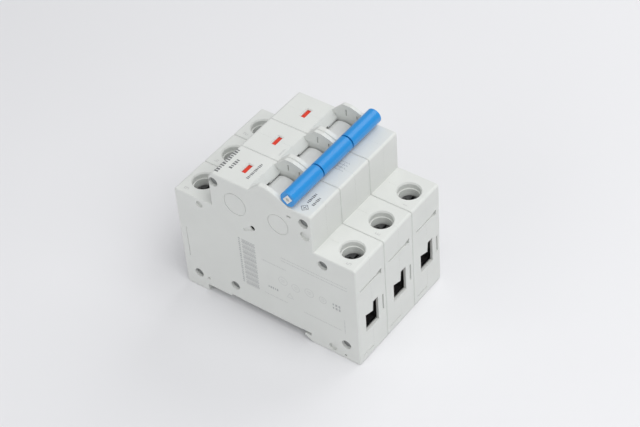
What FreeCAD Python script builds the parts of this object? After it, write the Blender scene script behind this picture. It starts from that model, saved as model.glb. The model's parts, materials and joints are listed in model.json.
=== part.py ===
import FreeCAD, Part
import math
import os
import re
import Sketcher

# Three-pole DIN-rail circuit breaker, millimetres.
# +X runs across the poles, +Y up the wall, +Z out of the wall.
# The origin is the middle of the back plane. Every piece is drawn for the middle pole
# and then placed at each pole.

DOC = FreeCAD.newDocument("CircuitBreaker")
SHEET = DOC.addObject("Spreadsheet::Sheet", "Dims")

DIMENSIONS = {
    # pole block
    "pole_pitch": 17.5,
    "pole_half": 8.7,
    "seam_half": 0.015,
    "half_length": 40,
    "step_z": 48,
    "front_half": 22.5,
    "front_z": 64.5,
    "wall": 1.4,
    "edge_round": 0.5,
    "corner_round": 1.0,
    # rail recess and feet
    "foot_inner_y": -29.8,
    "clip_roof_z": 3.6,
    "recess_start_y": -18.5,
    "recess_z": 4.6,
    "seat_z": 4.4,
    "seat_half": 14,
    "hook_end_y": 18.3,
    "hook_tip_y": 15.3,
    "hook_top_z": 3.1,
    "hook_low_z": 2.2,
    "hook_root_y": 19.5,
    # toggle opening between the cheeks
    "cheek_inner": 6.9,
    "cheek_low_y": -4.3,
    "cheek_top_z": 68.9,
    "cheek_rise_y": 0.4,
    "cheek_fall_y": 3.6,
    "chute_top_y": -4.8,
    "chute_foot_y": -2.8,
    "chute_foot_z": 61.2,
    "chute_lip_z": 60.3,
    "opening_end_y": 12.6,
    # handle
    "handle_y": 1.0,
    "handle_z": 54.0,
    "drum_radius": 7.0,
    "drum_half": 6.6,
    "bar_y": 13.0,
    "bar_z": 68.2,
    "bar_radius": 3.0,
    "cap_half": 8.42,
    "crossbar_half": 8.5,
    "lever_half": 4.0,
    "lever_thick": 3.0,
    "axle_radius": 1.5,
    "axle_half": 8.1,
    "bearing_depth": 8.2,
    "fit_gap": 0.06,
    "tie_radius": 0.75,
    # linkage
    "crank_radius": 4.6,
    "crank_angle": -117,
    "link_length": 8.0,
    "link_low_x": 2.4,
    "link_high_x": 3.6,
    "pin_radius": 0.8,
    "eye_radius": 1.7,
    "arm_y": -7.0,
    "arm_z": 40.07,
    "arm_pin_radius": 1.2,
    "arm_hub_radius": 2.6,
    "arm_half": 2.2,
    "tip_y": 4.0,
    "tip_z": 27.07,
    "contact_radius": 1.8,
    "contact_thick": 1.2,
    # trip group
    "trip_y": 3.5,
    "trip_z": 36.0,
    "trip_radius": 1.3,
    "trip_half": 25.4,
    "coil_z": 40.0,
    "coil_start_y": 10.0,
    "coil_end_y": 19.0,
    "coil_radius": 4.4,
    "coil_wire": 0.7,
    "plunger_radius": 2.4,
    "plunger_face_y": 13.0,
    "bimetal_y": -15.0,
    # terminals
    "terminal_y": 33.0,
    "screw_head_radius": 3.6,
    "screw_head_top_z": 43.0,
    "ledge_z": 39.35,
    "well_radius": 3.9,
    "well_step_radius": 4.3,
    "well_mouth_radius": 4.7,
    "entry_wall": 1.0,
    "shank_radius": 2.5,
    "cage_half": 5.4,
    "cage_inner": 4.0,
    "cage_floor_z": 12.2,
    "cage_top_z": 26.2,
    "plate_z": 20.8,
    "plate_thick": 1.4,
    # arc chamber
    "splitter_count": 8,
    "splitter_pitch": 1.9,
    "splitter_thick": 0.9,
    "splitter_low_z": 7.5,
    # rivets
    "rivet_radius": 1.6,
    "rivet_head_radius": 1.95,
    "boss_radius": 2.8,
    "rivet_sink": 1.8,
}

POLES = {"1": "-pole_pitch", "2": "0", "3": "pole_pitch"}
RIVET_PLACES = {
    "front_line": ("19.1", "60.1"),
    "front_load": ("-20.3", "60.3"),
    "shoulder": ("26.1", "43.6"),
    "line_foot": ("34.1", "7.75"),
    "load_foot": ("-33.6", "7.6"),
    "rail": ("-16.0", "10.4"),
}
NODES = []


def fill_sheet():
    """Write each driving dimension as a plain number with its alias."""
    for row, (alias, size) in enumerate(DIMENSIONS.items(), start=1):
        SHEET.set(f"A{row}", alias)
        SHEET.set(f"B{row}", str(size))
        SHEET.setAlias(f"B{row}", alias)
    DOC.recompute()


def formula(text):
    """Turn bare dimension names into references to the sheet."""
    return re.sub(r"[a-z][a-z_]+", lambda word: "Dims." + word[0] if word[0] in DIMENSIONS else word[0], str(text))


def size_of(text):
    return float(SHEET.evalExpression(formula(text)))


def bind(thing, target, text):
    thing.setExpression(target, formula(text))


# ---------------------------------------------------------------- building blocks

def box(name, span_x, span_y, span_z):
    """A block between two formulas along each axis."""
    block = DOC.addObject("Part::Box", name)
    for side, axis, (low, high) in (("Length", "x", span_x), ("Width", "y", span_y), ("Height", "z", span_z)):
        bind(block, side, f"({high}) - ({low})")
        bind(block, f".Placement.Base.{axis}", low)
    return block


AXIS_TURN = {
    "x": FreeCAD.Rotation(FreeCAD.Vector(0, 1, 0), 90),
    "y": FreeCAD.Rotation(FreeCAD.Vector(1, 0, 0), -90),
    "z": FreeCAD.Rotation(),
}


def rod(name, axis, radius, low, high, across):
    """A cylinder along an axis from low to high; across holds its other two coordinates."""
    cylinder = DOC.addObject("Part::Cylinder", name)
    cylinder.Placement = FreeCAD.Placement(FreeCAD.Vector(), AXIS_TURN[axis])
    bind(cylinder, "Radius", radius)
    bind(cylinder, "Height", f"({high}) - ({low})")
    bind(cylinder, f".Placement.Base.{axis}", low)
    others = [letter for letter in "xyz" if letter != axis]
    for letter, text in zip(others, across):
        bind(cylinder, f".Placement.Base.{letter}", text)
    return cylinder


def tilted_rod(name, radius, length, start, angle):
    """A cylinder in the pole's middle plane that leaves start (y, z) at an angle from +Y."""
    cylinder = DOC.addObject("Part::Cylinder", name)
    turn = FreeCAD.Rotation(FreeCAD.Vector(1, 0, 0), angle - 90)
    cylinder.Placement = FreeCAD.Placement(FreeCAD.Vector(), turn)
    bind(cylinder, "Radius", radius)
    bind(cylinder, "Height", length)
    bind(cylinder, ".Placement.Base.y", start[0])
    bind(cylinder, ".Placement.Base.z", start[1])
    return cylinder


def attach(body, sketch, role):
    """Attach a sketch to one of its own body's origin planes."""
    plane = next(item for item in body.Origin.OriginFeatures if item.Role == role)
    sketch.AttachmentSupport = (plane, [""])
    sketch.MapMode = "FlatFace"


def draw_outline(sketch, corners):
    """Closed outline whose corners are each held at a distance from the sketch's origin."""
    points = [FreeCAD.Vector(size_of(across), size_of(up), 0) for across, up in corners]
    for start, end in zip(points, points[1:] + points[:1]):
        sketch.addGeometry(Part.LineSegment(start, end))
    for index, corner in enumerate(corners):
        following = (index + 1) % len(corners)
        sketch.addConstraint(Sketcher.Constraint("Coincident", index, 2, following, 1))
        for kind, text in zip(("DistanceX", "DistanceY"), corner):
            rule = sketch.addConstraint(Sketcher.Constraint(kind, -1, 1, index, 1, size_of(text)))
            bind(sketch, f"Constraints[{rule}]", text)


def profile_pad(name, corners, span, plane="YZ_Plane"):
    """A body whose sketched profile is padded from low to high across its plane.

    Corners are (y, z) and span is in x on the YZ plane; on the XZ plane they are (x, z) and y.
    """
    body = DOC.addObject("PartDesign::Body", name)
    sketch = body.newObject("Sketcher::SketchObject", name + "_profile")
    attach(body, sketch, plane)
    draw_outline(sketch, corners)
    start = span[0] if plane == "YZ_Plane" else f"-({span[1]})"
    bind(sketch, "AttachmentOffset.Base.z", start)
    pad = body.newObject("PartDesign::Pad", name + "_pad")
    pad.Profile = sketch
    bind(pad, "Length", f"({span[1]}) - ({span[0]})")
    DOC.recompute()
    return body


def turned(name, steps):
    """A body of revolution about +Z from (radius, z) corners, made in the XZ plane."""
    body = DOC.addObject("PartDesign::Body", name)
    sketch = body.newObject("Sketcher::SketchObject", name + "_section")
    attach(body, sketch, "XZ_Plane")
    draw_outline(sketch, steps)
    spin = body.newObject("PartDesign::Revolution", name + "_spin")
    spin.Profile = sketch
    spin.ReferenceAxis = (sketch, ["V_Axis"])
    spin.Angle = 360
    DOC.recompute()
    return body


def joined(name, pieces):
    fusion = DOC.addObject("Part::MultiFuse", name)
    fusion.Shapes = pieces
    fusion.Refine = True
    return fusion


def minus(name, base, tools):
    """The base with every tool cut away."""
    cut = DOC.addObject("Part::Cut", name)
    cut.Base = base
    cut.Tool = tools[0] if len(tools) == 1 else joined(name + "_tools", tools)
    return cut


def copy_at(name, source, **shift):
    """A placed copy; shift gives formulas for x, y or z."""
    copy = DOC.addObject("Part::Compound", name)
    copy.Links = source if isinstance(source, list) else [source]
    for letter, text in shift.items():
        bind(copy, f".Placement.Base.{letter}", text)
    return copy


def node(label, shape_object):
    shape_object.Label = label
    NODES.append(shape_object)


def at_each_pole(label, source):
    """One node per pole."""
    for number, shift in POLES.items():
        node(f"{label}_{number}", copy_at(f"{label}_{number}_placed", source, x=shift))


def in_all_poles(label, source):
    """One node that holds the piece of every pole."""
    copies = [copy_at(f"{label}_{number}_placed", source, x=shift) for number, shift in POLES.items()]
    node(label, copy_at(label + "_set", copies))


# ---------------------------------------------------------------- housing

def side_profile():
    """Side view of one pole, (y, z), starting at the load foot."""
    return [
        ("-half_length", "0"),
        ("foot_inner_y", "0"),
        ("foot_inner_y", "clip_roof_z"),
        ("recess_start_y", "clip_roof_z"),
        ("recess_start_y", "recess_z"),
        ("-seat_half", "recess_z"),
        ("-seat_half", "seat_z"),
        ("seat_half", "seat_z"),
        ("seat_half", "recess_z"),
        ("hook_end_y", "recess_z"),
        ("hook_end_y", "hook_top_z"),
        ("hook_tip_y", "hook_top_z"),
        ("hook_tip_y", "hook_low_z"),
        ("hook_root_y", "0"),
        ("half_length", "0"),
        ("half_length", "step_z"),
        ("front_half", "step_z"),
        ("front_half", "front_z"),
        ("opening_end_y", "front_z"),
        ("opening_end_y - 3.2", "cheek_top_z - 2.3"),
        ("opening_end_y - 5.9", "cheek_top_z - 1.0"),
        ("cheek_fall_y", "cheek_top_z"),
        ("cheek_rise_y", "cheek_top_z"),
        ("cheek_low_y", "front_z"),
        ("-front_half + 2", "front_z"),
        ("-front_half", "front_z - 2.7"),
        ("-front_half", "step_z"),
        ("-half_length", "step_z"),
    ]


def cavity_profile():
    """Side view of the space inside a pole."""
    return [
        ("-38.3", "6"),
        ("38.3", "6"),
        ("38.3", "step_z - 1.75"),
        ("21", "step_z - 1.75"),
        ("21", "front_z - 1.5"),
        ("-21", "front_z - 1.5"),
        ("-21", "step_z - 1.75"),
        ("-38.3", "step_z - 1.75"),
    ]


def rounded(body, radius, test):
    """Fillet the edges of the body's last feature that pass the test."""
    base = body.Tip
    names = [f"Edge{count}" for count, edge in enumerate(base.Shape.Edges, start=1) if test(edge)]
    fillet = body.newObject("PartDesign::Fillet", body.Name + f"_round_{len(body.Group)}")
    fillet.Base = (base, names)
    bind(fillet, "Radius", radius)
    DOC.recompute()
    return body


def is_outer_corner(edge):
    """An edge along X at the block's four ends, its shoulders and its front."""
    spot = edge.CenterOfMass
    along_x = edge.BoundBox.XLength > 1
    at_end = abs(abs(spot.y) - size_of("half_length")) < 0.01
    at_shoulder = abs(abs(spot.y) - size_of("front_half")) < 2.1 and spot.z > size_of("step_z + 1")
    at_cheek = spot.z > size_of("front_z + 2")
    return along_x and (at_end or at_shoulder or at_cheek)


def is_side_edge(edge):
    """A perimeter edge of the side faces, above the feet."""
    flat = edge.BoundBox.XLength < 0.01
    on_side = abs(abs(edge.CenterOfMass.x) - size_of("pole_half")) < 0.01
    return flat and on_side and edge.CenterOfMass.z > size_of("recess_z + 0.1")


def pole_block():
    body = profile_pad("pole_block", side_profile(), ("-pole_half", "pole_half"))
    rounded(body, "corner_round", is_outer_corner)
    return rounded(body, "edge_round", is_side_edge)


def inner_features():
    """Bosses, screw wells, cage guides, flag ledges and the partition left standing inside."""
    inside = "pole_half - wall + 0.05"
    features = []
    for place, spot in RIVET_PLACES.items():
        features.append(rod("boss_" + place, "x", "boss_radius", f"-({inside})", inside, spot))
    for end in (1, -1):
        tag = "line" if end > 0 else "load"
        well = ("27.9", "38.35") if end > 0 else ("-38.35", "-27.9")
        features.append(box("well_" + tag, (f"-({inside})", inside), well, ("33", "step_z - 1.55")))
        guide = ("31", "35") if end > 0 else ("-35", "-31")
        features.append(box("guide_east_" + tag, ("cage_half + 0.1", inside), guide, ("12", "32")))
        features.append(box("guide_west_" + tag, (f"-({inside})", "-cage_half - 0.1"), guide, ("12", "32")))
    for tag, low, high in (("east", "4.6", inside), ("west", f"-({inside})", "-4.6")):
        features.append(box("flag_ledge_" + tag, (low, high), ("-18.5", "-6.6"), ("60.6", "61.5")))
    features.append(box("arc_wall", (f"-({inside})", inside), ("24.2", "25.2"), ("5.9", "24.5")))
    features.append(box("yoke_ledge", (f"-({inside})", inside), ("11", "19"), ("31.6", "33.1")))
    lip = [("-7", "front_z - 1.6"), ("chute_top_y", "front_z"), ("chute_foot_y", "chute_foot_z"),
           ("chute_foot_y", "chute_lip_z"), ("chute_foot_y - 0.7", "chute_lip_z")]
    features.append(profile_pad("chute_lip", lip, (f"-({inside})", inside)))
    return features


def toggle_cutter():
    """The opening between the cheeks, bounded by the chute and by the front plate."""
    corners = [
        ("chute_top_y", "front_z"),
        ("chute_foot_y", "chute_foot_z"),
        ("chute_foot_y", "chute_lip_z"),
        ("opening_end_y - 1.6", "chute_lip_z"),
        ("opening_end_y - 1.6", "front_z - 1.5"),
        ("opening_end_y", "front_z"),
        ("opening_end_y", "cheek_top_z + 1"),
        ("chute_top_y", "cheek_top_z + 1"),
    ]
    return profile_pad("toggle_cutter", corners, ("-cheek_inner", "cheek_inner"))


def end_span(sign, inner, outer="half_length + 0.1"):
    """Span in y from inner to outer at the line end, or its mirror image at the load end."""
    return (inner, outer) if sign > 0 else (f"-({outer})", f"-({inner})")


def screw_well():
    """Stepped and chamfered well for a terminal screw, about +Z."""
    return turned("screw_well", [
        ("0", "ledge_z"),
        ("well_radius", "ledge_z"),
        ("well_radius", "step_z - 2.6"),
        ("well_step_radius", "step_z - 2.6"),
        ("well_step_radius", "step_z - 0.6"),
        ("well_mouth_radius", "step_z"),
        ("well_mouth_radius", "step_z + 0.1"),
        ("0", "step_z + 0.1"),
    ])


def terminal_cutters():
    """Screw wells and wire entries at both ends, with the moulded marks on the end faces."""
    well = screw_well()
    entry = [
        ("4.1", "13.8"),
        ("4.1", "22.4"),
        ("-0.3", "21"),
        ("-0.7", "25.3"),
        ("-3.7", "25.3"),
        ("-3.7", "13.8"),
    ]
    wedge = [("-2", "36.3"), ("-6.6", "37.4"), ("-6.4", "34.8")]
    tools = []
    for sign, tag in ((1, "line"), (-1, "load")):
        tools.append(copy_at("well_" + tag + "_placed", well, y=f"{sign} * terminal_y"))
        tools.append(rod("shank_hole_" + tag, "z", "shank_radius + 0.2", "32.9", "ledge_z + 0.1",
                         ("0", f"{sign} * terminal_y")))
        tools.append(profile_pad("entry_" + tag, entry, end_span(sign, "half_length - 1.9"), "XZ_Plane"))
        tools.append(box("entry_thinning_" + tag, ("-5.6", "5.6"),
                         end_span(sign, "38.2", "half_length - entry_wall"), ("13", "26")))
        tools.append(profile_pad("end_wedge_" + tag, wedge, end_span(sign, "half_length - 1.4"), "XZ_Plane"))
        tools.append(box("end_slit_" + tag, ("-2.5", "6.4"), end_span(sign, "half_length - 1.2"),
                         ("36.0", "36.65")))
        tools.append(box("end_groove_" + tag, ("-7.1", "-6.2"), end_span(sign, "half_length - 0.8"),
                         ("16", "23.8")))
        tools.append(box("foot_slit_" + tag, ("0.5", "6.7"), end_span(sign, "half_length - 0.8"),
                         ("3.3", "3.7")))
    return tools


def passage_cutters():
    """Bearings for the axles and pins, the window, the clip channel and rivet holes."""
    tools = []
    for place, spot in RIVET_PLACES.items():
        tools.append(rod("hole_" + place, "x", "rivet_radius + 0.04", "-9", "9", spot))
    tools.append(rod("handle_bearing", "x", "axle_radius + fit_gap", "-bearing_depth", "bearing_depth",
                     ("handle_y", "handle_z")))
    tools.append(rod("arm_bearing", "x", "arm_pin_radius + 0.02", "-bearing_depth", "bearing_depth",
                     ("arm_y", "arm_z")))
    tools.append(rod("trip_bearing", "x", "trip_radius + fit_gap", "-bearing_depth", "bearing_depth",
                     ("trip_y", "trip_z")))
    tools.append(box("window", ("-2.3", "2.3"), ("-12.2", "-10.4"), ("62.9", "front_z + 0.1")))
    tools.append(box("window_frame", ("-2.6", "2.6"), ("-12.6", "-10"), ("front_z - 0.25", "front_z + 0.1")))
    tools.append(box("flag_recess", ("-5.6", "5.6"), ("-15.6", "-7"), ("62.9", "front_z - 0.6")))
    tools.append(box("clip_channel", ("-3.56", "3.56"), ("-half_length - 1", "foot_inner_y + 1"),
                     ("0.74", "3.06")))
    tools.append(rod("calibration_hole", "z", "1.5", "3", "6.1", ("0", "-20.5")))
    tools.append(box("slot_at_chute", ("-1.5", "3.8"), ("chute_foot_y - 0.5", "chute_foot_y + 0.1"),
                     ("chute_lip_z - 0.1", "chute_foot_z")))
    for tag, low, high in (("east", "6.8", "7.4"), ("west", "-7.4", "-6.8")):
        tools.append(box("cheek_notch_low_" + tag, (low, high), ("1.4", "2.0"), ("64", "cheek_top_z - 2")))
        tools.append(box("cheek_notch_high_" + tag, (low, high), ("6.2", "6.8"), ("64", "cheek_top_z - 3")))
    return tools


def pole_housing():
    """One whole hollow pole, before it is split."""
    hollow = profile_pad("hollow", cavity_profile(), ("-pole_half + wall", "pole_half - wall"))
    foot_hollow = box("foot_hollow", ("-pole_half + wall", "pole_half - wall"), ("21", "38.3"), ("1.5", "6.1"))
    shell = minus("hollow_block", pole_block(), [hollow, foot_hollow])
    fitted = joined("fitted_block", [shell] + inner_features())
    return minus("pole_housing", fitted, [toggle_cutter()] + terminal_cutters() + passage_cutters())


def outer_face_cutters(side):
    """Rivet counterbores and moulded blind marks on the block's outermost face."""
    def depth_span(depth):
        inner, outer = f"pole_half - {depth}", "pole_half + 0.1"
        return (inner, outer) if side > 0 else (f"-({outer})", f"-({inner})")

    tag = "east" if side > 0 else "west"
    tools = []
    for place, spot in RIVET_PLACES.items():
        tools.append(rod(f"sink_{place}_{tag}", "x", "2.0", *depth_span("rivet_sink"), spot))
    marks = {
        "upper": ("2.0", "19.3", "54.2"),
        "shoulder": ("1.5", "-28.6", "45.3"),
        "foot": ("1.7", "27.9", "3.0"),
        "load": ("0.6", "-28.9", "7.1"),
        "line": ("0.5", "33.5", "1.8"),
    }
    for place, (radius, y, z) in marks.items():
        tools.append(rod(f"mark_{place}_{tag}", "x", radius, *depth_span("0.9"), (y, z)))
    tools.append(box(f"mark_slot_{tag}", depth_span("0.9"), ("12.0", "13.8"), ("59.9", "60.7")))
    tools.append(rod("trip_access_" + tag, "x", "1.1", *depth_span("wall + 0.1"), ("-4.3", "45.9")))
    ramp = [("-4.3", "46.8"), ("-8.8", "43.6"), ("-8.3", "42.7"), ("-4.3", "45.0")]
    tools.append(profile_pad("trip_ramp_" + tag, ramp, depth_span("0.35")))
    thin_low, thin_high = sorted((f"{side} * (pole_half - 3)", f"{side} * (pole_half - 0.6)"), key=size_of)
    tools.append(rod("trip_thinning_" + tag, "x", "2.0", thin_low, thin_high, ("-4.3", "45.9")))
    tools.append(box(f"side_groove_{tag}", depth_span("0.2"), ("-37.0", "-36.8"), ("15", "30")))
    for place, y, radius in (("load", "-11.2", "4.9"), ("line", "7.8", "4.5")):
        ring = rod(f"ring_outer_{place}_{tag}", "x", radius, *depth_span("0.2"), (y, "handle_z"))
        core = rod(f"ring_core_{place}_{tag}", "x", f"{radius} - 0.3", *depth_span("0.3"), (y, "handle_z"))
        tools.append(minus(f"ring_{place}_{tag}", ring, [core]))
    return tools


def half_shells():
    """Split the pole housing and give each of the six halves its own openings."""
    housing = pole_housing()
    through = rod("trip_passage", "x", "trip_radius + fit_gap", "-9", "9", ("trip_y", "trip_z"))
    halves = {
        "left": box("left_half", ("-9", "-seam_half"), ("-41", "41"), ("-1", "71")),
        "right": box("right_half", ("seam_half", "9"), ("-41", "41"), ("-1", "71")),
    }
    for side_name, half in halves.items():
        side = 1 if side_name == "right" else -1
        part = DOC.addObject("Part::Common", f"half_{side_name}")
        part.Base = housing
        part.Tool = half
        inner = minus(f"inner_{side_name}", part, [through])
        outer = minus(f"outer_{side_name}", part, outer_face_cutters(side))
        outer_pole = "3" if side > 0 else "1"
        for number, shift in POLES.items():
            source = outer if number == outer_pole else inner
            node(f"shell_{number}_{side_name}", copy_at(f"shell_{number}_{side_name}_placed", source, x=shift))


def rivets():
    """Six rivets through the whole block, with a head sunk in each outer face."""
    reach = "pole_pitch + pole_half - rivet_sink"
    pieces = []
    for place, spot in RIVET_PLACES.items():
        shank = rod("rivet_shank_" + place, "x", "rivet_radius", f"-({reach})", reach, spot)
        heads = [
            rod("rivet_head_east_" + place, "x", "rivet_head_radius", reach, f"{reach} + 0.6", spot),
            rod("rivet_head_west_" + place, "x", "rivet_head_radius", f"-({reach}) - 0.6", f"-({reach})", spot),
        ]
        pieces.append(joined("rivet_" + place, [shank] + heads))
    node("rivets", copy_at("rivet_set", pieces))


def din_clip():
    """Sliding latch that holds the rail's lower edge, with a slot for a screwdriver."""
    corners = [
        ("-half_length + 0.2", "0.8"),
        ("-16.8", "0.8"),
        ("-15.3", "2.1"),
        ("-15.3", "3.0"),
        ("-24.0", "3.0"),
        ("-24.0", "3.5"),
        ("-25.6", "3.5"),
        ("-25.6", "3.0"),
        ("-half_length + 0.2", "3.0"),
    ]
    bar = profile_pad("clip_bar", corners, ("-3.5", "3.5"))
    slot = box("clip_slot", ("-2.4", "2.4"), ("-38.6", "-37.1"), ("0.5", "3.2"))
    window = box("clip_window", ("-1.8", "1.8"), ("-34", "-28"), ("0.5", "3.2"))
    at_each_pole("din_clip", minus("din_clip_piece", bar, [slot, window]))


# ---------------------------------------------------------------- handle and linkage

def lever_angle():
    """Lean of the lever from +Y when the breaker is on, degrees."""
    return math.degrees(math.atan2(size_of("bar_z - handle_z"), size_of("bar_y - handle_y")))


def lever_frame(piece_name, span_along, span_across, span_x):
    """A block that follows the lever's lean: along it from the drum's axis, and across it."""
    block = DOC.addObject("Part::Box", piece_name)
    lean = math.radians(lever_angle())
    along, across = size_of(span_along[0]), size_of(span_across[0])
    bind(block, "Length", f"({span_x[1]}) - ({span_x[0]})")
    bind(block, "Width", f"({span_along[1]}) - ({span_along[0]})")
    bind(block, "Height", f"({span_across[1]}) - ({span_across[0]})")
    corner = FreeCAD.Vector(
        size_of(span_x[0]),
        size_of("handle_y") + along * math.cos(lean) - across * math.sin(lean),
        size_of("handle_z") + along * math.sin(lean) + across * math.cos(lean),
    )
    turn = FreeCAD.Rotation(FreeCAD.Vector(1, 0, 0), lever_angle())
    block.Placement = FreeCAD.Placement(corner, turn)
    return block


def bar_distance():
    return math.hypot(size_of("bar_y - handle_y"), size_of("bar_z - handle_z"))


def handle():
    """Drum, axle, lever and crossbar in one moulding, with the slot that the linkage works in."""
    centre = ("handle_y", "handle_z")
    reach = bar_distance()
    drum = rod("drum", "x", "drum_radius", "-drum_half", "drum_half", centre)
    slot = box("drum_slot", ("-1.5", "3.8"), ("handle_y - 8", "handle_y + 0.1"),
               ("handle_z - 8", "handle_z + 4.6"))
    crank_y = "handle_y + crank_radius * cos(crank_angle)"
    crank_z = "handle_z + crank_radius * sin(crank_angle)"
    solid = [
        minus("slotted_drum", drum, [slot]),
        rod("axle_east", "x", "axle_radius", "drum_half - 0.5", "axle_half", centre),
        rod("axle_west", "x", "axle_radius", "-axle_half", "-drum_half + 0.5", centre),
        rod("crank_pin", "x", "pin_radius", "-2", "4.3", (crank_y, crank_z)),
        lever_frame("lever", ("drum_radius - 2", f"{reach}"), ("-lever_thick / 2", "lever_thick / 2"),
                    ("-lever_half", "lever_half")),
        lever_frame("crossbar", (f"{reach} - 1.7", f"{reach} + 1.7"), ("-1.2", "1.2"),
                    ("-crossbar_half", "crossbar_half")),
    ]
    tie_hole = rod("tie_hole", "x", "tie_radius + 0.02", "-9", "9", ("bar_y", "bar_z"))
    at_each_pole("handle", minus("handle_piece", joined("handle_solid", solid), [tie_hole]))


def handle_cap():
    """Round blue sleeve over the crossbar, slotted below for the lever."""
    reach = bar_distance()
    sleeve = rod("sleeve", "x", "bar_radius", "-cap_half", "cap_half", ("bar_y", "bar_z"))
    bore = lever_frame("sleeve_bore", (f"{reach} - 1.75", f"{reach} + 1.75"), ("-1.25", "1.25"), ("-9", "9"))
    mouth = lever_frame("sleeve_mouth", (f"{reach} - 4", f"{reach}"), ("-1.56", "1.56"),
                        ("-lever_half - 0.06", "lever_half + 0.06"))
    at_each_pole("handle_cap", minus("handle_cap_piece", sleeve, [bore, mouth]))


def tie_rod():
    reach = "pole_pitch + crossbar_half - 0.2"
    node("tie_rod", rod("tie_rod_piece", "x", "tie_radius", f"-({reach})", reach, ("bar_y", "bar_z")))


def drive_link():
    """Flat link from the drum's crank pin to the contact arm, with a pin at the arm's end."""
    crank_y = "handle_y + crank_radius * cos(crank_angle)"
    crank_z = "handle_z + crank_radius * sin(crank_angle)"
    far_y = f"{crank_y} - link_length"
    plate = [
        rod("link_near", "x", "eye_radius", "link_low_x", "link_high_x", (crank_y, crank_z)),
        rod("link_far", "x", "eye_radius", "link_low_x", "link_high_x", (far_y, crank_z)),
        box("link_bar", ("link_low_x", "link_high_x"), (far_y, crank_y), (f"{crank_z} - 1.2", f"{crank_z} + 1.2")),
    ]
    eye = rod("link_eye", "x", "pin_radius + fit_gap", "link_low_x - 1", "link_high_x + 1", (crank_y, crank_z))
    pin = rod("link_pin", "x", "pin_radius", "-1.2", "link_low_x + 0.5", (far_y, crank_z))
    plate_with_eye = minus("link_plate", joined("link_solid", plate), [eye])
    at_each_pole("drive_link", joined("drive_link_piece", [plate_with_eye, pin]))


def arm_lean():
    """Direction of the lower arm from +Y, degrees."""
    return math.degrees(math.atan2(size_of("tip_z - arm_z"), size_of("tip_y - arm_y")))


def arm_block(name, span_along, span_across, span_x, lean):
    """A block in a frame that starts at the arm's pivot and follows lean degrees from +Y."""
    block = DOC.addObject("Part::Box", name)
    angle = math.radians(lean)
    along, across = span_along[0], span_across[0]
    bind(block, "Length", f"({span_x[1]}) - ({span_x[0]})")
    block.Width = span_along[1] - span_along[0]
    block.Height = span_across[1] - span_across[0]
    corner = FreeCAD.Vector(
        size_of(span_x[0]),
        size_of("arm_y") + along * math.cos(angle) - across * math.sin(angle),
        size_of("arm_z") + along * math.sin(angle) + across * math.cos(angle),
    )
    block.Placement = FreeCAD.Placement(corner, FreeCAD.Rotation(FreeCAD.Vector(1, 0, 0), lean))
    return block


def contact_arm():
    """Bell-crank arm: slotted above for the link's pin, contact tip below."""
    lower = arm_lean()
    upper = 102.0
    length = math.hypot(size_of("tip_y - arm_y"), size_of("tip_z - arm_z"))
    centre = ("arm_y", "arm_z")
    tip_start = (
        f"tip_y - contact_thick / 2 * cos({lower + 90})",
        f"tip_z - contact_thick / 2 * sin({lower + 90})",
    )
    solid = [
        rod("arm_hub", "x", "arm_hub_radius", "-arm_half", "arm_half", centre),
        arm_block("arm_lower", (0, length + 1.8), (-2.2, -0.6), ("-arm_half", "arm_half"), lower),
        arm_block("arm_upper", (1, 12.2), (-2.15, 2.15), ("-1.2", "arm_half"), upper),
        tilted_rod("arm_contact", "contact_radius", "contact_thick", tip_start, lower + 90),
    ]
    tools = [
        arm_block("arm_slot", (9.25, 10.15), (-0.95, 0.95), ("-2", "3"), upper),
        rod("arm_bore", "x", "arm_pin_radius + 0.05", "-3", "3", centre),
    ]
    for tag, distance in (("near", 9.25), ("far", 10.15)):
        slot_end = rod("arm_slot_" + tag, "x", "0.95", "-2", "3", (
            f"arm_y + {distance} * cos({upper})",
            f"arm_z + {distance} * sin({upper})",
        ))
        tools.append(slot_end)
    at_each_pole("contact_arm", minus("contact_arm_piece", joined("arm_solid", solid), tools))


def arm_pivot_pins():
    in_all_poles("arm_pivot_pins", rod("arm_pivot_pin", "x", "arm_pin_radius", "-axle_half", "axle_half",
                                       ("arm_y", "arm_z")))


def fixed_contact():
    """Bent conductor that carries the fixed contact and runs down to the arc runner."""
    normal = math.radians(arm_lean() + 90)
    across = (math.cos(normal), math.sin(normal))
    start = ("tip_y + (contact_thick / 2 + 0.02) * {:.4f}".format(across[0]),
             "tip_z + (contact_thick / 2 + 0.02) * {:.4f}".format(across[1]))
    strip = profile_pad("contact_strip", [
        ("tip_y - 0.56", "tip_z + 3.43"),
        ("tip_y + 6.5", "tip_z + 3.43"),
        ("tip_y + 6.5", "tip_z + 2.23"),
        ("tip_y + 2.04", "tip_z + 2.23"),
        ("tip_y + 6.74", "tip_z - 3.27"),
        ("tip_y + 5.17", "tip_z - 3.27"),
    ], ("-5.1", "3"))
    pad = tilted_rod("fixed_pad", "contact_radius", "1.4", start, arm_lean() + 90)
    runner = box("arc_runner", ("-5", "5"), ("9.2", "24"), ("22.6", "tip_z - 3.27"))
    in_all_poles("fixed_contacts", joined("fixed_contact_piece", [strip, pad, runner]))


def status_flag():
    """Two-colour slide under the window, red when closed."""
    plate = box("flag_plate", ("-5.4", "5.4"), ("-15.4", "-9.8"), ("61.6", "front_z - 0.7"))
    rib = box("flag_rib", ("-3.6", "3.6"), ("-15.4", "-14.4"), ("60.4", "61.7"))
    at_each_pole("status_flag", joined("status_flag_piece", [plate, rib]))


# ---------------------------------------------------------------- trip group

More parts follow.
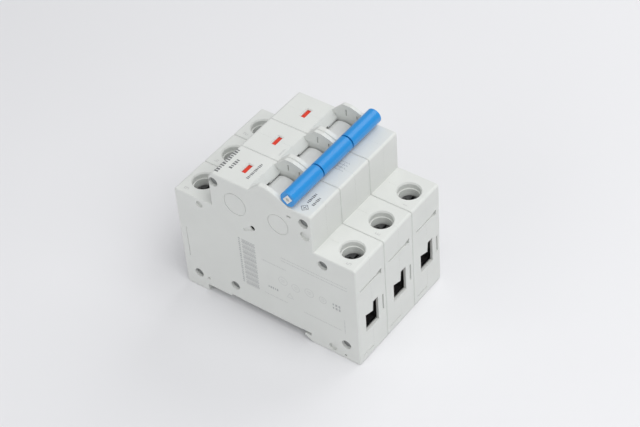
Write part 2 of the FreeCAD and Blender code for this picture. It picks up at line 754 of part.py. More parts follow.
def trip_group():
    """Shaft across the block and one lever per pole, struck by the plunger or the bimetal."""
    node("trip_shaft", rod("trip_shaft_piece", "x", "trip_radius", "-trip_half", "trip_half", ("trip_y", "trip_z")))
    finger = box("trip_finger", ("-1.5", "1.5"), ("3.9", "5.2"), ("trip_z", "trip_z + 7.5"))
    tail = profile_pad("trip_tail", [
        ("trip_y", "trip_z + 0.9"),
        ("-12.5", "30.6"),
        ("-12.5", "29.4"),
        ("trip_y", "trip_z - 0.9"),
    ], ("3", "4.5"))
    hub = rod("trip_hub", "x", "2.4", "-1.5", "4.5", ("trip_y", "trip_z"))
    bore = rod("trip_bore", "x", "trip_radius + 0.02", "-3", "6", ("trip_y", "trip_z"))
    at_each_pole("trip_lever", minus("trip_lever_piece", joined("trip_solid", [finger, tail, hub]), [bore]))


def coil_windings():
    """Helix of thick wire about the plunger, with a lead at each end."""
    turns = 5
    start, end = size_of("coil_start_y"), size_of("coil_end_y")
    radius, wire = size_of("coil_radius"), size_of("coil_wire")
    helix = Part.makeHelix((end - start) / turns, end - start, radius)
    helix.Placement = FreeCAD.Placement(
        FreeCAD.Vector(0, start, size_of("coil_z")), FreeCAD.Rotation(FreeCAD.Vector(1, 0, 0), -90))
    edge = helix.Edges[0]
    ring = Part.Wire([Part.makeCircle(wire, edge.valueAt(edge.FirstParameter), edge.tangentAt(edge.FirstParameter))])
    winding = DOC.addObject("Part::Feature", "winding")
    winding.Shape = Part.Wire(edge).makePipeShell([ring], True, True)
    winding.Placement = FreeCAD.Placement()
    to_contact = rod("lead_down", "z", "coil_wire", "tip_z + 3.43", "coil_z - 0.9", ("-4.4", "coil_start_y"))
    to_terminal = rod("lead_out", "y", "coil_wire", "coil_end_y", "25.5", ("4.6", "coil_z - 1"))
    in_all_poles("coil_windings", copy_at("winding_and_leads", [winding, to_contact, to_terminal]))


def coil_bobbin():
    tube = rod("bobbin_tube", "y", "3.3", "8.7", "20.3", ("0", "coil_z"))
    flanges = [
        rod("bobbin_flange_front", "y", "5.3", "8.7", "9.15", ("0", "coil_z")),
        rod("bobbin_flange_back", "y", "5.3", "19.85", "20.3", ("0", "coil_z")),
    ]
    bore = rod("bobbin_bore", "y", "plunger_radius + fit_gap", "8", "21", ("0", "coil_z"))
    notch = rod("bobbin_notch", "y", "coil_wire + 0.1", "19.5", "21", ("4.6", "coil_z - 1"))
    in_all_poles("coil_bobbins", minus("bobbin_piece", joined("bobbin_solid", [tube] + flanges), [bore, notch]))


def coil_yoke():
    """Steel frame about the coil; the plunger's pin passes through its front plate."""
    base = box("yoke_base", ("-3.5", "3.5"), ("7.6", "21.4"), ("33.2", "34.2"))
    front = box("yoke_front", ("-3.5", "3.5"), ("7.6", "8.6"), ("33.2", "44.5"))
    back = box("yoke_back", ("-3.5", "3.5"), ("20.4", "21.4"), ("33.2", "44.5"))
    hole = rod("yoke_hole", "y", "0.96", "7", "9", ("0", "coil_z"))
    in_all_poles("coil_yokes", minus("yoke_piece", joined("yoke_solid", [base, front, back]), [hole]))


def plunger():
    """Core and striker pin; the return spring sits about the pin, ahead of the core's face."""
    core = rod("plunger_core", "y", "plunger_radius", "plunger_face_y", "19.4", ("0", "coil_z"))
    pin = rod("plunger_pin", "y", "0.9", "7.2", "plunger_face_y + 0.4", ("0", "coil_z"))
    at_each_pole("plunger", joined("plunger_piece", [core, pin]))


def small_spring(name, coil_radius, wire, turns, length, place, axis):
    """Round-wire compression spring from place along axis."""
    helix = Part.makeHelix(length / turns, length, coil_radius)
    edge = helix.Edges[0]
    start, heading = edge.valueAt(edge.FirstParameter), edge.tangentAt(edge.FirstParameter)
    ring = Part.Wire([Part.makeCircle(wire, start, heading)])
    spring = DOC.addObject("Part::Feature", name)
    spring.Shape = Part.Wire(edge).makePipeShell([ring], True, True)
    spring.Placement = FreeCAD.Placement(FreeCAD.Vector(*place), AXIS_TURN[axis])
    return spring


def springs():
    """Plunger return, handle return and contact pressure springs."""
    coil_z = size_of("coil_z")
    wire, seat, spare = 0.27, 8.75, 0.13
    length = size_of("plunger_face_y") - spare - seat - 2 * wire
    plunger_spring = small_spring("plunger_spring", 1.6, wire, 3, length, (0, seat + wire, coil_z), "y")
    in_all_poles("plunger_springs", plunger_spring)
    handle_spot = (-7.1, size_of("handle_y"), size_of("handle_z"))
    in_all_poles("handle_springs", small_spring("handle_spring", 2.4, 0.12, 1.0, 0.3, handle_spot, "x"))
    contact_spot = (3.0, size_of("arm_y"), size_of("arm_z"))
    in_all_poles("contact_springs", small_spring("contact_spring", 1.9, 0.28, 3, 2.7, contact_spot, "x"))


def bimetal_and_braid():
    """Bimetal strip on the load conductor, its calibration screw and the braid to the arm."""
    strip = box("bimetal_strip", ("-2", "2"), ("bimetal_y - 0.4", "bimetal_y + 0.4"), ("15.2", "33"))
    in_all_poles("bimetal_strips", strip)
    screw = [
        rod("calibration_shank", "z", "1.2", "7.6", "13.75", ("0", "-20.5")),
        rod("calibration_head", "z", "1.9", "6.2", "7.6", ("0", "-20.5")),
    ]
    slot = box("calibration_slot", ("-0.3", "0.3"), ("-22.6", "-18.4"), ("6.1", "6.8"))
    in_all_poles("calibration_screws", minus("calibration_screw", joined("calibration_solid", screw), [slot]))
    strap = profile_pad("braid_strap", [
        ("-16.4", "31"),
        ("-15.4", "31"),
        ("-15.4", "33.4"),
        ("-12.6", "38.4"),
        ("-8.6", "42.6"),
        ("-5.8", "42.6"),
        ("-5.8", "44.2"),
        ("-9.2", "44.2"),
        ("-14", "39.2"),
        ("-16.4", "34.2"),
    ], ("-6.4", "-5.2"))
    foot = box("braid_foot", ("-5.3", "2"), ("-16.4", "bimetal_y - 0.4"), ("31", "33"))
    in_all_poles("braids", joined("braid_piece", [strap, foot]))


# ---------------------------------------------------------------- arc chamber

def arc_chamber():
    """Stack of notched splitter plates between two side cards."""
    count = int(size_of("splitter_count"))
    plates = []
    for index in range(count):
        low = f"splitter_low_z + {index} * splitter_pitch"
        plate = box(f"splitter_blank_{index}", ("-6.4", "6.4"), ("8", "23.5"), (low, f"{low} + splitter_thick"))
        notch = rod(f"splitter_notch_{index}", "z", "2.2", f"{low} - 0.2", f"{low} + splitter_thick + 0.2",
                    ("0", "8"))
        plates.append(minus(f"splitter_{index}", plate, [notch]))
    in_all_poles("arc_plates", copy_at("splitter_stack", plates))
    cards = [
        box("card_east", ("6.42", "6.95"), ("7.6", "23.8"), ("6.6", "22.4")),
        box("card_west", ("-6.95", "-6.42"), ("7.6", "23.8"), ("6.6", "22.4")),
    ]
    in_all_poles("arc_chute_sides", copy_at("card_pair", cards))


# ---------------------------------------------------------------- terminals

def terminal_screw():
    """Screw with a combined slot and cross recess, on the axis of its well."""
    screw = turned("screw_blank", [
        ("0", "22.35"),
        ("shank_radius - 0.4", "22.35"),
        ("shank_radius", "22.75"),
        ("shank_radius", "ledge_z + 0.05"),
        ("screw_head_radius", "ledge_z + 0.05"),
        ("screw_head_radius", "screw_head_top_z - 0.4"),
        ("screw_head_radius - 0.4", "screw_head_top_z"),
        ("0", "screw_head_top_z"),
    ])
    slot = box("screw_slot", ("-2.9", "2.9"), ("-0.5", "0.5"),
               ("screw_head_top_z - 1.6", "screw_head_top_z + 0.1"))
    cross = box("screw_cross", ("-0.5", "0.5"), ("-2.1", "2.1"),
                ("screw_head_top_z - 2", "screw_head_top_z + 0.1"))
    return minus("screw_piece", screw, [slot, cross])


def clamp_cage():
    """Steel box whose floor lifts the conductor against the terminal plate."""
    block = box("cage_block", ("-cage_half", "cage_half"), ("-4", "4.6"), ("cage_floor_z", "cage_top_z"))
    space = box("cage_space", ("-cage_inner", "cage_inner"), ("-5", "6"), ("cage_floor_z + 1.6", "cage_top_z - 3.4"))
    thread = rod("cage_thread", "z", "shank_radius + 0.05", "cage_top_z - 4", "cage_top_z + 1", ("0", "0"))
    ridges = [
        box("cage_ridge_outer", ("-3.4", "3.4"), ("2.4", "3.0"), ("cage_floor_z + 1.5", "cage_floor_z + 1.9")),
        box("cage_ridge_inner", ("-3.4", "3.4"), ("-2", "-1.4"), ("cage_floor_z + 1.5", "cage_floor_z + 1.9")),
    ]
    return joined("cage_piece", [minus("cage_open", block, [space, thread])] + ridges)


def terminals():
    """Screws and cages at both ends of every pole, numbered odd at the line and even at the load."""
    screw = terminal_screw()
    cage = clamp_cage()
    half_turn = FreeCAD.Rotation(FreeCAD.Vector(0, 0, 1), 180)
    for pole, shift in POLES.items():
        for first, sign in ((1, 1), (2, -1)):
            number = 2 * int(pole) - 2 + first
            for label, source in (("terminal_screw", screw), ("clamp_cage", cage)):
                copy = copy_at(f"{label}_{number}_placed", source, x=shift, y=f"{sign} * terminal_y")
                if sign < 0:
                    copy.Placement = FreeCAD.Placement(copy.Placement.Base, half_turn)
                node(f"{label}_{number}", copy)


def terminal_plates():
    """Copper plates that the conductors are clamped against."""
    line = profile_pad("line_plate", [
        ("25.5", "plate_z"),
        ("37.2", "plate_z"),
        ("37.2", "plate_z + plate_thick"),
        ("26.9", "plate_z + plate_thick"),
        ("26.9", "40.2"),
        ("25.5", "40.2"),
    ], ("-3.8", "3.8"))
    tab = box("line_tab", ("3.8", "5.4"), ("25.5", "26.9"), ("38", "40.2"))
    in_all_poles("line_terminal_plates", joined("line_plate_piece", [line, tab]))
    load = profile_pad("load_plate", [
        ("-37.2", "plate_z"),
        ("-26.9", "plate_z"),
        ("-26.9", "13.8"),
        ("-13.5", "13.8"),
        ("-13.5", "15.2"),
        ("-25.5", "15.2"),
        ("-25.5", "plate_z + plate_thick"),
        ("-37.2", "plate_z + plate_thick"),
    ], ("-3.8", "3.8"))
    in_all_poles("load_terminal_plates", load)


# ---------------------------------------------------------------- document

def build():
    fill_sheet()
    half_shells()
    rivets()
    din_clip()
    handle()
    handle_cap()
    tie_rod()
    drive_link()
    contact_arm()
    arm_pivot_pins()
    fixed_contact()
    status_flag()
    trip_group()
    coil_windings()
    coil_bobbin()
    coil_yoke()
    plunger()
    springs()
    bimetal_and_braid()
    arc_chamber()
    terminals()
    terminal_plates()
    DOC.recompute()


def check():
    """Stop on any failed object or bad sub-part."""
    for thing in DOC.Objects:
        if "Invalid" in thing.State or "Error" in thing.State:
            raise RuntimeError(f"{thing.Name} failed: {thing.State}")
    for piece in NODES:
        if piece.Shape.isNull() or not piece.Shape.isValid():
            raise RuntimeError(f"{piece.Label} has no valid shape")


def write():
    os.makedirs("parts", exist_ok=True)
    for piece in NODES:
        piece.Shape.exportStep(os.path.join("parts", piece.Label + ".step"))
    print(len(NODES), "nodes")


build()
check()
write()
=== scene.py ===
import json
import math

import bmesh
import bpy
from mathutils import Matrix, Vector


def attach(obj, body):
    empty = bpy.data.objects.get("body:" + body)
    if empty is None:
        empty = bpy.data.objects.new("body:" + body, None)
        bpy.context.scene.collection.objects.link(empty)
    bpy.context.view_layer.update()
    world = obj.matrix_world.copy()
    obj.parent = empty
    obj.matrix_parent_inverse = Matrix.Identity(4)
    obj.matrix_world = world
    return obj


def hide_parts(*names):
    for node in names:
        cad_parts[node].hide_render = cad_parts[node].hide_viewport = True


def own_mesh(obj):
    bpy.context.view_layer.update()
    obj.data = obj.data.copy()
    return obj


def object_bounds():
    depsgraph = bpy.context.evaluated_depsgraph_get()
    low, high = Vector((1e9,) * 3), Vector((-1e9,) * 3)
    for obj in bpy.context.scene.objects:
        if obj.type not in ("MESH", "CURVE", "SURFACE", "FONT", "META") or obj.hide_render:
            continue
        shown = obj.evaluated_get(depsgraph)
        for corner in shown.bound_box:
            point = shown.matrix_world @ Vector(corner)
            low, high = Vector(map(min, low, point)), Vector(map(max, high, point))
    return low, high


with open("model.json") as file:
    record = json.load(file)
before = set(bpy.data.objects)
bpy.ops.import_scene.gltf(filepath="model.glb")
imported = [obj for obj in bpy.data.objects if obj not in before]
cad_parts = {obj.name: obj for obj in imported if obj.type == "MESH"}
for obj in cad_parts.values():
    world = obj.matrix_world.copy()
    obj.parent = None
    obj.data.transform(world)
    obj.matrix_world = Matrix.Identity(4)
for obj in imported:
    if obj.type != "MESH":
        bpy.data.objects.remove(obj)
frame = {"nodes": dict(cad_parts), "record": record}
CAD_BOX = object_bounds()

# Lengths named here are in millimetres unless the name says metres. MM turns them into metres.
MM = 0.001

# housing: the poles' middles, the label plane, the terminal step and the near side face
POLE_X = {1: -17.5, 2: 0.0, 3: 17.5}
FRONT_Z = 64.5
STEP_Z = 48.0
SIDE_X = 26.2

# status flag: where green meets red, in the flag's own frame
FLAG_SPLIT_Y = -12.55

# return springs on the plungers
COIL_Z = 40.0
SPRING_LOW_Y = 8.75
SPRING_HIGH_Y = 12.87
SPRING_RADIUS = 1.6
SPRING_WIRE = 0.27
SPRING_TURNS = 3
SPRING_STEPS = 96
SPRING_SIDES = 10

# how far marks stand proud of the face under them
INK_LIFT = 0.02
NUMERAL_LIFT = 0.05

# A block's width is a share of the pitch and its height a share of the row's; both step unevenly.
BLOCK_WIDTH_SHARE = 0.45
BLOCK_WIDTH_STEP = 0.12
BLOCK_HEIGHT_SHARE = 0.8
BLOCK_HEIGHT_STEP = 0.1

RING_STROKES = 20
RING_OVERLAP = 1.1

# Rows of blocks are (start, end, v, height, pitch). Those of the near label count from pole 3's middle.
NEAR_LABEL_ROWS = {
    "first_line": (-6.5, 7.3, -19.8, 1.6, 1.15),
    "second_line": (-2.2, 3.3, -16.5, 1.5, 1.1),
    "below_window": (-4.6, 4.5, -8.0, 1.1, 0.75),
    "beside_symbol": (-2.5, 3.3, 17.2, 1.1, 0.8),
    "last_line": (-1.5, 3.5, 19.5, 1.1, 0.8),
}
SMALL_ROW = (2.2, 6.6, -5.9, 0.9, 0.6)

# crossed diamond on the near label
SYMBOL_OUT_X = 5.4
SYMBOL_Y = 17.8
SYMBOL_RADIUS = 1.5
SYMBOL_CROSS = 1.7
SYMBOL_LINE = 0.22

# wiring diagram on pole 2: columns of strokes (v, turn) and two bars (v, length) across them
DIAGRAM_START_X = -3.4
DIAGRAM_PITCH = 1.45
DIAGRAM_COLUMNS = 4
DIAGRAM_STROKES = ((15.0, 0), (15.9, 35), (16.8, 0), (17.8, -35))
DIAGRAM_STROKE_WIDTH = 0.26
DIAGRAM_STROKE_LENGTH = 0.8
DIAGRAM_BAR_X = -1.2
DIAGRAM_BAR_LINE = 0.2
DIAGRAM_BARS = ((14.5, 4.8), (16.3, 3.4))

# terminal numbers: offset from the pole's middle, distance to either end, size
NUMERAL_OUT_X = 6.4
NUMERAL_OUT_Y = 35.9
NUMERAL_SIZE = 1.7
NUMERAL_LINE_SHARE = 0.13
NUMERAL_BARS = {1: "bc", 2: "abged", 3: "abgcd", 4: "fgbc", 5: "afgcd", 6: "afgedc"}

# ruled block on the near side, with a column of blocks (u, start, end, width, pitch) beside it
RULED_Y = -7.3
RULED_LOW_Z = 14.8
RULED_PITCH = 0.65
RULED_COUNT = 36
RULED_WIDTH = 5.6
RULED_WIDTH_STEP = 0.5
RULED_LINE = 0.16
RULED_LINE_STEP = 0.09
RULED_COLUMN = (-11.4, 15.0, 38.0, 0.9, 1.0)

# emblems on the near side: rings (u, v, radius) holding two bars each, and one triangle
EMBLEM_RINGS = ((7.3, 25.6, 1.9), (12.9, 25.0, 1.7), (19.0, 26.0, 1.9), (24.9, 25.7, 1.5))
EMBLEM_LINE = 0.16
EMBLEM_BAR_OFFSET = 0.4
EMBLEM_LOWER_BAR_SHARE = 0.7
TRIANGLE = (10.0, 19.2, 1.6)

SIDE_BLOCK_ROWS = (
    (28.9, 32.9, 26.2, 1.2, 1.3),
    (28.9, 32.9, 24.5, 1.2, 1.3),
    (0.0, 4.8, 19.3, 1.2, 0.95),
)

# fine lines on the near side: (start, end, v) of each row, and the one column (u, start, end)
FINE_HEIGHT = 0.45
FINE_PITCH = 0.7
FINE_ROWS = ((7.3, 36.0, 37.6), (7.3, 36.0, 36.2), (15.6, 32.5, 14.4), (-2.0, 8.8, 15.0), (-1.8, 9.4, 32.0))
FINE_COLUMN = (34.0, 13.6, 21.2)

# stage and lights
FLOOR_HALF_METRES = 3.0
FLOOR_GAP = 0.02
LIGHT_TARGET_METRES = (0, 0, 0.03)
WORLD_COLOR = (0.93, 0.94, 0.96, 1.0)
WORLD_STRENGTH = 0.42

# camera: angles in degrees, then where it aims, how far off it stands, and its lens
CAMERA_AZIMUTH = 129.16
CAMERA_ELEVATION = 43.46
CAMERA_ROLL = -4.74
CAMERA_TARGET_Z = 30
CAMERA_SHIFT_RIGHT = 4.09
CAMERA_SHIFT_UP = 3.05
CAMERA_DISTANCE = 633.5
CAMERA_LENS = 97.2
CAMERA_SENSOR = 36.0
CAMERA_CLIP_METRES = 0.01


# ---------------------------------------------------------------- material helpers

class Shader:
    """A node material with its principled shader and a short way to add nodes."""

    def __init__(self, name):
        self.material = bpy.data.materials.new(name)
        self.material.use_nodes = True
        self.tree = self.material.node_tree
        self.bsdf = next(node for node in self.tree.nodes if node.type == "BSDF_PRINCIPLED")
        self.place = self.tree.nodes.new("ShaderNodeTexCoord").outputs["Object"]

    def node(self, kind, **settings):
        """A new node with the given settings."""
        made = self.tree.nodes.new(kind)
        for key, value in settings.items():
            setattr(made, key, value)
        return made

    def link(self, source, target):
        """Join an output to an input."""
        self.tree.links.new(source, target)

    def set(self, **values):
        """Uniform values, set on the shader's own sockets."""
        for key, value in values.items():
            self.bsdf.inputs[key.replace("_", " ")].default_value = value

    def noise(self, scale, detail, stretch=None):
        """Noise over the object's own coordinates, optionally stretched per axis."""
        texture = self.node("ShaderNodeTexNoise")
        texture.inputs["Scale"].default_value = scale
        texture.inputs["Detail"].default_value = detail
        source = self.place
        if stretch:
            mapping = self.node("ShaderNodeMapping")
            mapping.inputs["Scale"].default_value = stretch
            self.link(self.place, mapping.inputs["Vector"])
            source = mapping.outputs["Vector"]
        self.link(source, texture.inputs["Vector"])
        return texture.outputs["Fac"]

    def ramp(self, source, stops):
        """A colour ramp from (position, colour) stops."""
        ramp = self.node("ShaderNodeValToRGB")
        while len(ramp.color_ramp.elements) < len(stops):
            ramp.color_ramp.elements.new(0.5)
        for element, (position, color) in zip(ramp.color_ramp.elements, stops):
            element.position = position
            element.color = (*color, 1.0)
        self.link(source, ramp.inputs["Fac"])
        return ramp.outputs["Color"]

    def spread(self, source, low, high):
        """Map a 0 to 1 value to the range low to high."""
        mapper = self.node("ShaderNodeMapRange")
        mapper.inputs["To Min"].default_value = low
        mapper.inputs["To Max"].default_value = high
        self.link(source, mapper.inputs["Value"])
        return mapper.outputs["Result"]

    def bump(self, source, height, strength):
        """Relief from a 0 to 1 value, its height in metres."""
        bump = self.node("ShaderNodeBump")
        bump.inputs["Strength"].default_value = strength
        bump.inputs["Distance"].default_value = height
        self.link(source, bump.inputs["Height"])
        self.link(bump.outputs["Normal"], self.bsdf.inputs["Normal"])


def moulded(name, color, roughness, grain=0.00002, coat=0.0):
    """Injection-moulded plastic: soft tone variation, fine spark-eroded grain."""
    shade = Shader(name)
    cloud = shade.noise(scale=90.0, detail=4.0)
    dim = tuple(channel * 0.965 for channel in color)
    shade.link(shade.ramp(cloud, [(0.3, dim), (0.7, color)]), shade.bsdf.inputs["Base Color"])
    fine = shade.noise(scale=4200.0, detail=2.0)
    shade.link(shade.spread(fine, roughness - 0.05, roughness + 0.06), shade.bsdf.inputs["Roughness"])
    shade.bump(fine, height=grain, strength=0.35)
    shade.set(Coat_Weight=coat, Coat_Roughness=0.2)
    return shade.material


def brushed(name, color, roughness, stretch=(1.0, 1.0, 12.0)):
    """Bare or plated metal with fine directional scratches; the dark steel's near-black tone is painted
    shade.
    """
    shade = Shader(name)
    streak = shade.noise(scale=1400.0, detail=5.0, stretch=stretch)
    dark = tuple(channel * 0.72 for channel in color)
    shade.link(shade.ramp(streak, [(0.3, dark), (0.7, color)]), shade.bsdf.inputs["Base Color"])
    shade.link(shade.spread(streak, roughness - 0.08, roughness + 0.12), shade.bsdf.inputs["Roughness"])
    shade.bump(streak, height=0.00001, strength=0.4)
    shade.set(Metallic=1.0)
    return shade.material


def flag_colors():
    """Status flag: green half towards -Y, red half towards +Y, parted across the slide."""
    shade = Shader("flag_two_colour")
    split = shade.node("ShaderNodeSeparateXYZ")
    shade.link(shade.place, split.inputs["Vector"])
    step = shade.node("ShaderNodeMath", operation="GREATER_THAN")
    step.inputs[1].default_value = FLAG_SPLIT_Y * MM
    shade.link(split.outputs["Y"], step.inputs[0])
    tone = shade.noise(scale=500.0, detail=2.0)
    red = shade.ramp(tone, [(0.3, (0.62, 0.035, 0.015)), (0.7, (0.72, 0.05, 0.02))])
    green = shade.ramp(tone, [(0.3, (0.03, 0.30, 0.07)), (0.7, (0.04, 0.36, 0.09))])
    mix = shade.node("ShaderNodeMix", data_type="RGBA")
    shade.link(step.outputs["Value"], mix.inputs["Factor"])
    shade.link(green, mix.inputs["A"])
    shade.link(red, mix.inputs["B"])
    shade.link(mix.outputs["Result"], shade.bsdf.inputs["Base Color"])
    shade.set(Roughness=0.35)
    return shade.material


def print_ink(name, color):
    """Pad-printed ink with slightly uneven cover."""
    shade = Shader(name)
    cover = shade.noise(scale=2600.0, detail=3.0)
    pale = tuple(channel + 0.08 for channel in color)
    shade.link(shade.ramp(cover, [(0.35, color), (0.75, pale)]), shade.bsdf.inputs["Base Color"])
    shade.link(shade.spread(cover, 0.45, 0.65), shade.bsdf.inputs["Roughness"])
    return shade.material


def floor_finish(name, color, roughness):
    """Matt surface with a very slight change of tone."""
    shade = Shader(name)
    tone = shade.noise(scale=6.0, detail=2.0)
    dim = tuple(channel * 0.985 for channel in color)
    shade.link(shade.ramp(tone, [(0.3, dim), (0.7, color)]), shade.bsdf.inputs["Base Color"])
    shade.set(Roughness=roughness)
    return shade.material


def make_materials():
    """Every material of the object, by slot name, and the three inks."""
    return {
        "housing": moulded("housing_grey", (0.70, 0.715, 0.69), 0.46),
        "handle": moulded("handle_white", (0.74, 0.75, 0.74), 0.38),
        "cap": moulded("cap_blue", (0.006, 0.262, 0.67), 0.30, grain=0.00001, coat=0.35),
        "flag": flag_colors(),
        "clip": moulded("clip_grey", (0.62, 0.635, 0.61), 0.5),
        "steel": brushed("plated_steel", (0.62, 0.62, 0.60), 0.32),
        # dark steel of the terminal cages: plated metal given a near-black tone, painted shade of the unlit
        # wire entries
        "dark_steel": brushed("dark_steel", (0.16, 0.16, 0.165), 0.42),
        "copper": brushed("bare_copper", (0.80, 0.40, 0.24), 0.30, stretch=(1.0, 10.0, 1.0)),
        "bobbin": moulded("bobbin_black", (0.02, 0.02, 0.022), 0.45),
        "card": moulded("fibre_card", (0.50, 0.38, 0.24), 0.7, grain=0.00004),
        "trip": moulded("trip_amber", (0.62, 0.28, 0.05), 0.4),
        "rivet": brushed("dull_rivet", (0.40, 0.41, 0.41), 0.62),
        "ink": print_ink("print_dark", (0.13, 0.135, 0.14)),
        "ink_pale": print_ink("print_pale", (0.40, 0.41, 0.41)),
        "ink_faint": print_ink("print_faint", (0.52, 0.53, 0.52)),
    }


def dress_frame(materials):
    """Give every CAD node the detailed material of its slot."""
    slots = {entry["node"]: entry["material_slot"] for entry in frame["record"]["subparts"]}
    for name, thing in frame["nodes"].items():
        for holder in thing.material_slots:
            holder.material = materials[slots[name]]


# ---------------------------------------------------------------- printed and moulded marks
# Strokes are (u, v, width, height, turn) in millimetres and degrees on a flat face of the housing.
# Rows of plain blocks stand where a maker prints its own words; they spell nothing.

def face_on_z(level):
    """Plane whose u runs along +X and v along +Y, at a height."""
    return Matrix.Translation((0, 0, level * MM))


def face_on_x(level):
    """Plane whose u runs along +Y and v along +Z, at a distance to the side."""
    turned = Matrix(((0, 0, 1, 0), (1, 0, 0, 0), (0, 1, 0, 0), (0, 0, 0, 1)))
    return Matrix.Translation((level * MM, 0, 0)) @ turned


def mark_piece(name, face, strokes, material, lift=INK_LIFT):
    """One piece made of all the thin strokes on a face, standing proud of it by lift."""
    shape = bmesh.new()
    for u, v, width, height, turn in strokes:
        spot = Matrix.Translation((u * MM, v * MM, 0)) @ Matrix.Rotation(math.radians(turn), 4, "Z")
        scale = Matrix.Diagonal((width * MM, height * MM, 2 * lift * MM, 1))
        bmesh.ops.create_cube(shape, size=1.0, matrix=face @ spot @ scale)
    mesh = bpy.data.meshes.new(name)
    shape.to_mesh(mesh)
    shape.free()
    mesh.materials.append(material)
    piece = bpy.data.objects.new(name, mesh)
    bpy.context.scene.collection.objects.link(piece)
    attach(piece, "housing")


def block_row(start, end, v, height, pitch):
    """A row of uneven blocks along u, like a printed line read from too far away."""
    strokes = []
    count = int((end - start) / pitch)
    for index in range(count):
        middle = start + (index + 0.5) * pitch
        width = pitch * (BLOCK_WIDTH_SHARE + BLOCK_WIDTH_STEP * (index * 5 % 3))
        tall = height * (BLOCK_HEIGHT_SHARE + BLOCK_HEIGHT_STEP * (index * 7 % 3))
        strokes.append((middle, v, width, tall, 0))
    return strokes


def block_column(u, start, end, width, pitch):
    """The same uneven blocks along v."""
    row = block_row(start, end, u, width, pitch)
    return [(across, along, thick, length, 0) for along, across, length, thick, _ in row]


def stroke_ring(u, v, radius, width):
    """A circle of short straight strokes."""
    step = math.tau / RING_STROKES
    length = radius * step * RING_OVERLAP
    strokes = []
    for index in range(RING_STROKES):
        angle = index * step
        spot_u = u + radius * math.cos(angle)
        spot_v = v + radius * math.sin(angle)
        strokes.append((spot_u, spot_v, width, length, math.degrees(angle)))
    return strokes


def polygon_outline(u, v, radius, corners, width, first_turn):
    """Outline of a regular polygon about a point."""
    step = math.tau / corners
    inner = radius * math.cos(step / 2)
    side = 2 * radius * math.sin(step / 2)
    strokes = []
    for index in range(corners):
        angle = math.radians(first_turn) + index * step
        spot_u = u + inner * math.cos(angle)
        spot_v = v + inner * math.sin(angle)
        strokes.append((spot_u, spot_v, width, side, math.degrees(angle)))
    return strokes


def numeral(digit, u, v, size):
    """A digit from up to seven straight strokes, its top towards +Y."""
    half = size / 4
    line = size * NUMERAL_LINE_SHARE
    flat = (2 * half, line)
    upright = (line, 2 * half)
    places = {
        "a": (0, 2 * half, *flat),
        "b": (half, half, *upright),
        "c": (half, -half, *upright),
        "d": (0, -2 * half, *flat),
        "e": (-half, -half, *upright),
        "f": (-half, half, *upright),
        "g": (0, 0, *flat),
    }
    strokes = []
    for bar in NUMERAL_BARS[digit]:
        across, along, width, height = places[bar]
        strokes.append((u + across, v + along, width, height, 0))
    return strokes


def front_marks(materials):
    """Printed rows and symbols on the label planes of poles 3 and 2."""
    face = face_on_z(FRONT_Z)
    near = POLE_X[3]
    rows = []
    for start, end, v, height, pitch in NEAR_LABEL_ROWS.values():
        rows += block_row(near + start, near + end, v, height, pitch)
    mark_piece("label_rows", face, rows, materials["ink"])

    middle = near + SYMBOL_OUT_X
    symbol = polygon_outline(middle, SYMBOL_Y, SYMBOL_RADIUS, 4, SYMBOL_LINE, 45)
    symbol.append((middle, SYMBOL_Y, SYMBOL_CROSS, SYMBOL_LINE, 0))
    symbol.append((middle, SYMBOL_Y, SYMBOL_LINE, SYMBOL_CROSS, 0))
    mark_piece("label_symbol", face, symbol, materials["ink"])

    diagram = []
    for column in range(DIAGRAM_COLUMNS):
        u = DIAGRAM_START_X + DIAGRAM_PITCH * column
        for v, turn in DIAGRAM_STROKES:
            diagram.append((u, v, DIAGRAM_STROKE_WIDTH, DIAGRAM_STROKE_LENGTH, turn))
    for v, length in DIAGRAM_BARS:
        diagram.append((DIAGRAM_BAR_X, v, length, DIAGRAM_BAR_LINE, 0))
    mark_piece("label_diagram", face, diagram, materials["ink_pale"])
    mark_piece("label_small_row", face, block_row(*SMALL_ROW), materials["ink_faint"])


def terminal_numerals(materials):
    """Moulded terminal numbers beside the screw wells: odd at the line end, even at the load end."""
    strokes = []
    for pole, x in POLE_X.items():
        strokes += numeral(2 * pole - 1, x + NUMERAL_OUT_X, NUMERAL_OUT_Y, NUMERAL_SIZE)
        strokes += numeral(2 * pole, x + NUMERAL_OUT_X, -NUMERAL_OUT_Y, NUMERAL_SIZE)
    mark_piece("terminal_numerals", face_on_z(STEP_Z), strokes, materials["ink_faint"], NUMERAL_LIFT)


def side_marks(materials):
    """Pale stamp on the near side face: a ruled block, emblems, rows of blocks and fine lines."""
    face = face_on_x(SIDE_X)
    ruled = []
    for index in range(RULED_COUNT):
        v = RULED_LOW_Z + RULED_PITCH * index
        width = RULED_WIDTH + RULED_WIDTH_STEP * (index % 2)
        line = RULED_LINE + RULED_LINE_STEP * (index * 7 % 4)
        ruled.append((RULED_Y, v, width, line, 0))
    ruled += block_column(*RULED_COLUMN)
    mark_piece("side_ruled_block", face, ruled, materials["ink_pale"])

    emblems = []
    for u, v, radius in EMBLEM_RINGS:
        emblems += stroke_ring(u, v, radius, EMBLEM_LINE)
        emblems.append((u, v + EMBLEM_BAR_OFFSET, radius, EMBLEM_LINE, 0))
        emblems.append((u, v - EMBLEM_BAR_OFFSET, radius * EMBLEM_LOWER_BAR_SHARE, EMBLEM_LINE, 0))
    emblems += polygon_outline(*TRIANGLE, 3, EMBLEM_LINE, 30)
    mark_piece("side_emblems", face, emblems, materials["ink_faint"])

    blocks = []
    for row in SIDE_BLOCK_ROWS:
        blocks += block_row(*row)
    mark_piece("side_blocks", face, blocks, materials["ink_pale"])

    lines = []
    for start, end, v in FINE_ROWS:
        lines += block_row(start, end, v, FINE_HEIGHT, FINE_PITCH)
    lines += block_column(*FINE_COLUMN, FINE_HEIGHT, FINE_PITCH)
    mark_piece("side_fine_lines", face, lines, materials["ink_faint"])
